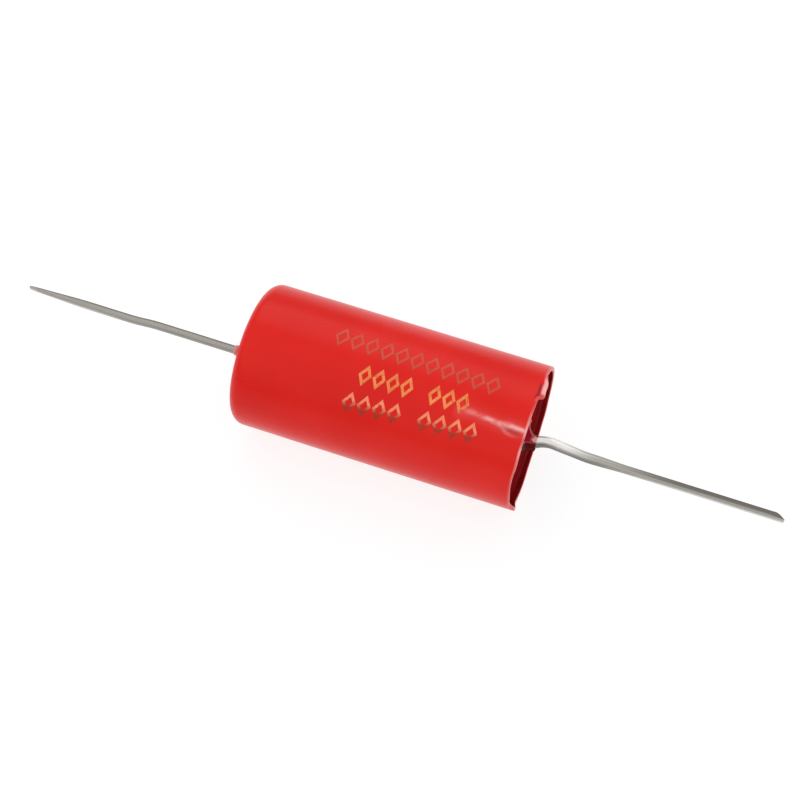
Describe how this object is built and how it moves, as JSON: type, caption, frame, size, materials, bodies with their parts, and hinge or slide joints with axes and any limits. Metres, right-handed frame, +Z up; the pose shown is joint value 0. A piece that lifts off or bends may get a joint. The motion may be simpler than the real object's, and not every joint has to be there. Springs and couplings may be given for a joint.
{
  "type": "axial film capacitor",
  "caption": "Round film capacitor in a red film sleeve, its ends sealed with resin, with a tinned wire lead from the middle of each end.",
  "frame": {"origin": "middle of the body's axis, halfway between the left end face and the right lip", "axes": "+X along the body's axis, from the rounded left end to the cut lip at the right end; +Z up, as the part lies on its side; the leads are bent in the XY plane"},
  "size_m": [0.0565, 0.0104, 0.0104],
  "materials": {
    "film_roll": "satin, metallised",
    "sprayed_metal": "matte, grainy sprayed zinc",
    "solder": "satin solder",
    "lead_wire": "satin tinned copper",
    "end_resin": "glossy resin",
    "sleeve_film": "glossy film"
  },
  "bodies": {
    "root": {"film_winding": "film_roll", "left_end_spray": "sprayed_metal", "right_end_spray": "sprayed_metal", "left_solder": "solder", "right_solder": "solder", "left_lead": "lead_wire", "right_lead": "lead_wire", "left_end_fill": "end_resin", "right_end_fill": "end_resin", "outer_sleeve": "sleeve_film"}
  },
  "joints": []
}
